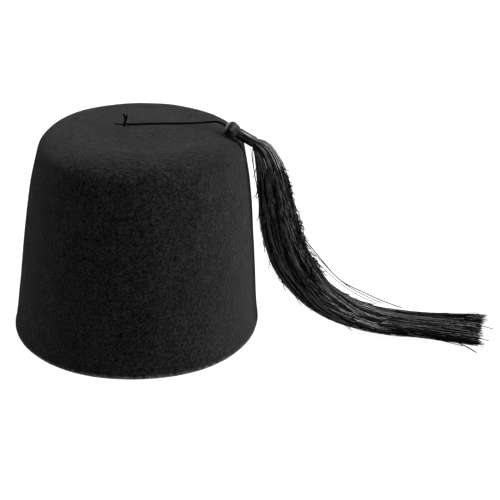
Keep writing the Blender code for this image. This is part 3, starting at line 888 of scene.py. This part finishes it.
def add_sleeve(material):
    """The sleeve: thread wound side by side round the tassel's neck."""
    half = WINDING_HALF
    turn_count = (SLEEVE_LENGTH - 2 * half) / (2 * half * 0.98)
    steps = int(turn_count * 30)
    share = np.linspace(0.0, 1.0, steps)
    places = half + (SLEEVE_LENGTH - 2 * half) * share
    line = around_axis(SLEEVE_START, places, sleeve_radius(places), 2 * np.pi * turn_count * share)
    points = tube_points(line[None], np.full((1, steps), half), WINDING_SIDES)[0]
    out = unit(line - np.array(tuple(SLEEVE_START)) - places[:, None] * np.array(tuple(AXIS)))[:, None]
    height = ((points - line[:, None]) * out).sum(axis=2, keepdims=True)
    points -= out * height * (1 - WINDING_FLATNESS)
    faces = tube_faces(1, steps, WINDING_SIDES)
    points = points.reshape(-1, 3)
    wound = add_piece("sleeve_winding", points, faces, material, ["tassel_sleeve"])
    add_tone(wound, np.ones(len(points)))

    rings = 12
    sides = 32
    places = np.tile(np.linspace(0.0002, SLEEVE_LENGTH - 0.0002, rings)[:, None], (1, sides))
    radii = np.full((rings, sides), SLEEVE_DIAMETER / 2 - half * 1.25)
    turns = 2 * np.pi * np.arange(sides) / sides
    points = around_axis(SLEEVE_START, places, radii, turns)
    neck = add_barrel("sleeve_body", points, material)
    add_tone(neck, np.full((rings, sides), 0.6))
    return [wound, neck]


# Tassel skirt

# How far the threads reach back into the sleeve, and that as a share of the skirt's length
NECK_INSIDE = 0.003
NECK_AT = -NECK_INSIDE / SKIRT_LENGTH
# How far past the tip the skirt's middle line is known, and its points
LINE_END = 1.03
LINE_POINTS = 440


def skirt_half(at, index):
    """Half of the skirt's thickness or width at a share of its length."""
    return smooth_between(SKIRT_SECTIONS, index, at) * SKIRT_WIDTH / 2


class Skirt:
    """The skirt's middle line with a frame at every place along it, as arrays."""

    def __init__(self):
        points = []
        for out, sway, height in SKIRT_ROUTE:
            at = HANGING_SHARE + (1 - HANGING_SHARE) * min(out, 1.0)
            rest = float(skirt_half(at, 1)) * FLOOR_ROOM + GAP
            points.append(Vector((
                SLEEVE_MOUTH.x + out * SKIRT_REACH,
                SLEEVE_MOUTH.y - sway * SKIRT_SWAY,
                height * SLEEVE_MOUTH.z + (1 - height) * rest,
            )))
        inside = SLEEVE_MOUTH - AXIS * NECK_INSIDE
        curve = np.array([tuple(point) for point in smooth_curve([inside] + points)])
        totals = (lengths_along(curve) - NECK_INSIDE) / SKIRT_LENGTH
        self.at = np.linspace(NECK_AT, LINE_END, LINE_POINTS)
        self.middle = np.stack([np.interp(self.at, totals, curve[:, k]) for k in range(3)], axis=1)
        along = unit(np.gradient(self.middle, axis=0))
        self.across = unit(np.cross(np.array([0.0, 0.0, 1.0]), along))
        self.in_plane = np.cross(along, self.across)
        within = np.clip(self.at, 0.0, 1.0)
        self.thick = skirt_half(within, 1)
        self.wide = skirt_half(within, 2)

    def place(self, at, u, v):
        """Points of the section, where u and v are shares of its half sizes."""
        def read(vectors):
            return np.stack([np.interp(at, self.at, vectors[:, k]) for k in range(3)], axis=-1)

        reach_u = (u * np.interp(at, self.at, self.thick))[..., None]
        reach_v = (v * np.interp(at, self.at, self.wide))[..., None]
        return read(self.middle) + read(self.in_plane) * reach_u + read(self.across) * reach_v


def waves(draw, at, amount, lowest, highest, terms=3):
    """Smooth random waves along each strand."""
    total = np.zeros_like(at)
    for _ in range(terms):
        pace = draw.uniform(lowest, highest, (len(at), 1))
        shift = draw.uniform(0, 2 * np.pi, (len(at), 1))
        total += np.sin(2 * np.pi * pace * at + shift)
    return total * amount / terms


STRAND_RINGS = 49
STRAND_HALF = 0.00024
# Where the threads end, and how much a lock's and a single thread's end strays from that
END_AT = 0.983
END_STRAY = 0.008
# How much further the threads at the back reach, as a share of the skirt's length
END_SLANT = 0.0145
# How far a thread's small waves go, as a share of the skirt's half width
CRIMP = 0.034
# How much a lock's and a single thread's tone differ from the others
LOCK_TONES = 0.25
STRAND_TONES = 0.70
# Where the threads bend down from the sleeve a painted highlight makes a few of them paler: how much
# paler, where and how far
BEND_PAINTED_HIGHLIGHT = 190.0
BEND_AT = 0.050
BEND_REACH = 0.035
DIP_REACH = 0.06
PALEST = 38.0
# Where the locks begin to go under near their end, and over what share of the length
SINK_AT = 0.72
SINK_REACH = 0.18
# Painted light along the skirt: painted highlights make the hanging part paler and the turn onto the
# floor palest, and painted shade darkens the tip. Share of its length and paleness
PAINTED_LIGHT_ALONG = [
    (0.00, 1.0),
    (0.12, 1.1),
    (0.25, 1.6),
    (0.50, 1.6),
    (0.61, 1.9),
    (0.70, 0.9),
    (0.85, 0.7),
    (1.00, 0.5),
]
# The layers of threads, and what each is made of. depths are where its locks lie, from 0 in the
# middle to 1 outside, and lock_half is half a lock's width, both as shares of the skirt's section.
# wander is how far a lock strays round the bundle, dip how far it goes under where the skirt
# bends down, and sink how far it goes under near its end.
SKIRT_LAYERS = [
    ("satin", {"name": "skirt_threads_outer", "locks": 80, "strands": 4, "depths": (0.88, 0.99),
               "lock_half": 0.030, "wander": 0.35, "dip": 0.04, "sink": 0.08, "seed": 21}),
    ("dull", {"name": "skirt_threads_dull", "locks": 134, "strands": 5, "depths": (0.84, 0.98),
              "lock_half": 0.040, "wander": 0.35, "seed": 22}),
    # The middle and inner threads are of the shaded thread, painted shade deep in the bundle
    ("shaded", {"name": "skirt_threads_middle", "locks": 26, "strands": 18, "depths": (0.58, 0.80),
                "lock_half": 0.12, "wander": 0.30, "seed": 23}),
    ("shaded", {"name": "skirt_threads_inner", "locks": 16, "strands": 14, "depths": (0.10, 0.60),
                "lock_half": 0.22, "wander": 0.30, "seed": 24}),
    ("bright", {"name": "skirt_threads_bright", "locks": 60, "strands": 2, "depths": (0.94, 0.99),
                "lock_half": 0.020, "wander": 0.80, "dip": 0.10, "sink": 0.03, "seed": 25}),
]


def add_locks(skirt, name, locks, strands, depths, lock_half, wander, seed, material, dip=0.0, sink=0.0):
    """Threads in locks: each lock is a loose round bundle of threads with its own route."""
    draw = np.random.default_rng(seed)
    count = locks * strands
    lock = np.repeat(np.arange(locks), strands)
    rings = np.linspace(0.0, 1.0, STRAND_RINGS) ** 1.12
    lock_at = np.tile(rings, (locks, 1))
    freed = np.clip(lock_at / 0.22, 0.0, 1.0)
    lock_turn = 2 * np.pi * (np.arange(locks) + draw.uniform(-0.4, 0.4, locks))[:, None] / locks
    lock_turn = lock_turn + freed * waves(draw, lock_at, wander, 0.3, 1.5)
    lock_depth = draw.uniform(*depths, (locks, 1)) + freed * waves(draw, lock_at, 0.10, 0.5, 2.2)
    half = lock_half * draw.uniform(0.7, 1.3, (locks, 1)) * (1 + waves(draw, lock_at, 0.35, 0.8, 3.0))
    lock_depth = np.clip(lock_depth, 0.0, 1.0 - 0.9 * half)
    lock_depth = lock_depth * (1 - dip * np.exp(-((lock_at - BEND_AT) / DIP_REACH) ** 2))
    lock_depth = lock_depth * (1 - sink * np.clip((lock_at - SINK_AT) / SINK_REACH, 0.0, 1.0))
    slant = END_SLANT * lock_depth[:, -1:] * np.sin(lock_turn[:, -1:])
    ends = (END_AT + slant + draw.normal(0, END_STRAY, (locks, 1)))[lock]
    ends = ends + draw.normal(0, END_STRAY, (count, 1))
    at = NECK_AT + (ends - NECK_AT) * rings[None]
    away = np.sqrt(draw.random((count, 1))) * (1 + waves(draw, at, 0.35, 1.0, 5.0))
    turn = draw.uniform(0, 2 * np.pi, (count, 1)) + draw.uniform(-3, 3, (locks, 1))[lock] * at
    turn = turn + waves(draw, at, 0.9, 0.6, 3.5)
    u = (lock_depth * np.cos(lock_turn))[lock] + half[lock] * away * np.cos(turn)
    v = (lock_depth * np.sin(lock_turn))[lock] + half[lock] * away * np.sin(turn)
    freed = np.clip(at / 0.12, 0.0, 1.0)
    u = u + freed * waves(draw, at, CRIMP, 7.0, 20.0, 2)
    v = v + freed * waves(draw, at, CRIMP, 7.0, 20.0, 2)
    over = np.maximum(np.hypot(u, v), 1.0)
    lines = skirt.place(at, u / over, v / over)
    lines[..., 2] = np.maximum(lines[..., 2], STRAND_HALF + 0.00015)
    widths = np.full(at.shape, STRAND_HALF) * draw.uniform(0.7, 1.3, (count, 1))
    widths[:, 0] *= 0.5
    widths[:, -1] *= 0.55
    tones = np.exp(draw.normal(0, LOCK_TONES, locks))[lock] * np.exp(draw.normal(0, STRAND_TONES, count))
    # Painted highlight on a few threads where they bend down from the sleeve
    bend_highlight_mask = np.exp(-((at - BEND_AT) / BEND_REACH) ** 2)
    painted_light = 1 + BEND_PAINTED_HIGHLIGHT * draw.random((count, 1)) ** 8 * bend_highlight_mask
    # Painted light along the skirt: paler on the hanging part and at the turn, darker towards the tip
    painted_light = painted_light * np.interp(at, column(PAINTED_LIGHT_ALONG, 0), column(PAINTED_LIGHT_ALONG, 1))
    tones = np.repeat(np.minimum(tones[:, None] * painted_light, PALEST), 3, axis=1)
    add_tubes(name, lines, widths, 3, material, ["tassel_skirt"], tones)


# Single threads that have come away from the bundle: half the thickness of each, and the points
# that it passes
LOOSE_THREADS = [
    (0.00032, [(0.0775, -0.0100, 0.1307), (0.0786, -0.0102, 0.1181), (0.0820, -0.0100, 0.1003),
               (0.0858, -0.0095, 0.0828), (0.0905, -0.0092, 0.0690)]),
    (0.00026, [(0.0762, -0.0085, 0.1295), (0.0774, -0.0085, 0.1225), (0.0804, -0.0088, 0.1070),
               (0.0833, -0.0090, 0.0927), (0.0870, -0.0090, 0.0800)]),
    (0.00018, [(0.0880, -0.0078, 0.1305), (0.0956, -0.0070, 0.1178), (0.1009, -0.0070, 0.1044),
               (0.1060, -0.0072, 0.0908), (0.1103, -0.0080, 0.0751)]),
    (0.00036, [(0.0984, -0.0080, 0.0930), (0.1126, -0.0080, 0.0700), (0.1276, -0.0078, 0.0510),
               (0.1427, -0.0072, 0.0346), (0.1611, -0.0060, 0.0247), (0.1745, -0.0040, 0.0181),
               (0.1900, -0.0020, 0.0120)]),
    (0.00028, [(0.0978, -0.0070, 0.0904), (0.1128, -0.0066, 0.0665), (0.1293, -0.0060, 0.0473),
               (0.1466, -0.0050, 0.0306), (0.1622, -0.0040, 0.0215), (0.1756, -0.0030, 0.0153)]),
    (0.00024, [(0.1010, -0.0080, 0.0814), (0.1152, -0.0078, 0.0595), (0.1317, -0.0072, 0.0418),
               (0.1466, -0.0065, 0.0290), (0.1592, -0.0055, 0.0213), (0.1696, -0.0045, 0.0166)]),
    (0.00028, [(0.1899, -0.0205, 0.0016), (0.2036, -0.0244, 0.0010), (0.2170, -0.0294, 0.0006),
               (0.2287, -0.0351, 0.0005)]),
    (0.00040, [(0.2139, -0.0255, 0.0020), (0.2238, -0.0300, 0.0012), (0.2312, -0.0367, 0.0007),
               (0.2369, -0.0446, 0.0006)]),
    (0.00030, [(0.2361, 0.0038, 0.0060), (0.2453, 0.0063, 0.0050), (0.2521, 0.0083, 0.0042)]),
    (0.00030, [(0.2316, -0.0077, 0.0050), (0.2431, -0.0079, 0.0040), (0.2539, -0.0115, 0.0030)]),
    (0.00030, [(0.2301, -0.0198, 0.0030), (0.2394, -0.0237, 0.0022), (0.2481, -0.0278, 0.0016)]),
]


# Strays follow the bundle, and curls are short and stand off it
STRAYS = 90
CURLS = 240


def add_loose_threads(skirt, material):
    """The threads that stand off the bundle: the ones that show best, strays and curls."""
    rings = 40
    lines = []
    widths = []
    for half, points in LOOSE_THREADS:
        lines.append(even_points(smooth_curve([Vector(point) for point in points]), rings))
        widths.append(np.full(rings, half))
    draw = np.random.default_rng(SEED + 31)
    for _ in range(STRAYS):
        start = draw.uniform(0.03, 0.80)
        long = draw.uniform(0.12, 0.45)
        at = np.clip(np.linspace(start, start + long, rings), 0.0, 1.0)[None]
        lift = np.sin(np.linspace(0.0, np.pi, rings))[None] * draw.uniform(0.02, 0.16)
        turn = draw.uniform(0, 2 * np.pi) + waves(draw, at, 0.25, 0.6, 3.0)
        depth = 0.93 + lift
        lines.append(skirt.place(at, depth * np.cos(turn), depth * np.sin(turn))[0])
        widths.append(np.full(rings, draw.uniform(0.00008, 0.00018)))
    for index in range(CURLS):
        start = draw.uniform(0.06, 0.45) if index % 2 else draw.uniform(0.05, 0.70)
        at = np.linspace(start, start + draw.uniform(0.012, 0.050), rings)[None]
        lift = np.linspace(0.0, 1.0, rings)[None] * draw.uniform(0.05, 0.26)
        curl = draw.uniform(0.01, 0.05) * np.sin(np.linspace(0.0, draw.uniform(3, 9), rings))[None]
        turn = (draw.normal(0, 0.8) if index % 2 else draw.uniform(0, 2 * np.pi)) + curl * 3
        depth = 1.0 + lift + curl
        lines.append(skirt.place(at, depth * np.cos(turn), depth * np.sin(turn))[0])
        widths.append(np.full(rings, draw.uniform(0.00016, 0.00030)))
    lines = np.array(lines)
    widths = np.array(widths)
    widths[:, 0] *= 0.4
    widths[:, -1] *= 0.4
    lines[..., 2] = np.maximum(lines[..., 2], widths + 0.0001)
    tones = draw.uniform(0.6, 2.0, len(lines))
    add_tubes("loose_threads", lines, widths, 5, material, (), tones)


def add_skirt_core(skirt, material):
    """The inside of the bundle, dark as painted shade, which shows only between threads."""
    rings = 90
    sides = 48
    at = np.tile((NECK_AT + (0.955 - NECK_AT) * np.linspace(0, 1, rings) ** 1.1)[:, None], (1, sides))
    turns = np.tile(2 * np.pi * np.arange(sides) / sides, (rings, 1))
    share = 0.60 + 0.03 * np.sin(9 * turns + 3 * at) + 0.02 * np.sin(17 * turns - 5 * at)
    points = skirt.place(at, share * np.cos(turns), -share * np.sin(turns))
    points[..., 2] = np.maximum(points[..., 2], 0.0006)
    core = add_barrel("skirt_core", points, material)
    add_tone(core, np.full((rings, sides), 0.6))


def add_tassel_skirt(threads):
    """The skirt: its core, its layers of threads and the loose threads round them."""
    skirt = Skirt()
    add_skirt_core(skirt, threads["shaded"])
    for thread, layer in SKIRT_LAYERS:
        add_locks(skirt, material=threads[thread], **layer)
    add_loose_threads(skirt, threads["shaded"])


# Camera, floor and lights

FLOOR_HALF = 60.0
# The lights face one point, from this far away: name, direction, width and power
LIGHT_TARGET = Vector((0.07, 0.0, 0.10))
LIGHT_DISTANCE = 1.5
LIGHTS = [
    ("key_above", (0.50, -0.10, 0.86), 0.6, 38.0),
    ("fill_right", (0.90, -0.32, 0.29), 1.4, 16.0),
    ("accent_right", (0.70, -0.08, 0.71), 0.4, 12.0),
]
# The studio's bright sides: direction, where the brightness starts, from 0 at a right angle to
# 1 straight on, and how bright it is straight on
BRIGHT_SIDES = [
    ((0.20, 0.78, 0.60), 0.0, 1.45),
    ((-0.78, 0.60, 0.15), 0.55, 3.00),
]
DARK_SIDE = 0.02


def add_camera():
    """The camera, at the photograph's angle."""
    pitch = math.radians(CAMERA_PITCH)
    roll = math.radians(CAMERA_ROLL)
    forward = Vector((0.0, math.cos(pitch), -math.sin(pitch)))
    level = Vector((1.0, 0.0, 0.0))
    upright = level.cross(forward)
    right = level * math.cos(roll) + upright * math.sin(roll)
    up = upright * math.cos(roll) - level * math.sin(roll)
    data = bpy.data.cameras.new("photo_camera")
    data.lens = CAMERA_LENS
    data.sensor_width = 36.0
    data.clip_start = 0.01
    data.clip_end = 50.0
    camera = bpy.data.objects.new("photo_camera", data)
    turn = Matrix((right, up, -forward)).transposed().to_4x4()
    camera.matrix_world = Matrix.Translation(CAMERA_PLACE) @ turn
    bpy.context.scene.collection.objects.link(camera)
    bpy.context.scene.camera = camera


def add_floor():
    """The plain pale floor that the hat stands on."""
    half = FLOOR_HALF
    corners = [(-half, -half, 0.0), (half, -half, 0.0), (half, half, 0.0), (-half, half, 0.0)]
    mesh = bpy.data.meshes.new("studio_floor")
    mesh.from_pydata(corners, [], [(0, 1, 2, 3)])
    mesh.materials.append(floor_material())
    floor = bpy.data.objects.new("studio_floor", mesh)
    bpy.context.scene.collection.objects.link(floor)


def add_light(name, direction, width, power):
    """A soft square panel of light that faces the hat."""
    data = bpy.data.lights.new(name, "AREA")
    data.size = width
    data.energy = power
    light = bpy.data.objects.new(name, data)
    light.location = LIGHT_TARGET + Vector(direction).normalized() * LIGHT_DISTANCE
    light.rotation_mode = "QUATERNION"
    light.rotation_quaternion = (LIGHT_TARGET - light.location).to_track_quat("-Z", "Y")
    bpy.context.scene.collection.objects.link(light)


def add_world():
    """A studio that is dark in front, bright behind and bright on the left."""
    world = bpy.data.worlds.new("studio")
    world.use_nodes = True
    nodes = world.node_tree.nodes
    links = world.node_tree.links
    background = nodes["Background"]
    place = nodes.new("ShaderNodeTexCoord")
    lobes = []
    for towards, start, amount in BRIGHT_SIDES:
        facing = add_node(nodes, "ShaderNodeVectorMath", operation="DOT_PRODUCT")
        facing.inputs[1].default_value = towards
        links.new(place.outputs["Generated"], facing.inputs[0])
        lobes.append(map_range(nodes, links, facing.outputs["Value"], (start, 1.0), (DARK_SIDE, amount)))
    total = add_node(nodes, "ShaderNodeMath", operation="ADD")
    links.new(lobes[0], total.inputs[0])
    links.new(lobes[1], total.inputs[1])
    links.new(total.outputs[0], background.inputs["Strength"])
    background.inputs["Color"].default_value = (1.0, 1.0, 1.0, 1.0)
    bpy.context.scene.world = world


def main():
    """Dress the hat and set it in its studio."""
    bpy.context.scene.view_settings.view_transform = "Standard"
    bpy.context.scene.view_settings.look = "None"
    felt = felt_material()
    threads = {}
    for name, base, pale_roughness, dark_roughness, specular in THREADS:
        threads[name] = thread_material(name + "_thread", base, pale_roughness, dark_roughness, specular)

    add_camera()
    cord, path = add_cord(threads["cord"])
    add_stem(threads["cord"])
    knob = add_knob(threads["wound"])
    sleeve = add_sleeve(threads["wound"])
    add_tassel_skirt(threads)
    add_crown(felt)

    add_floor()
    add_world()
    for name, direction, width, power in LIGHTS:
        add_light(name, direction, width, power)


main()
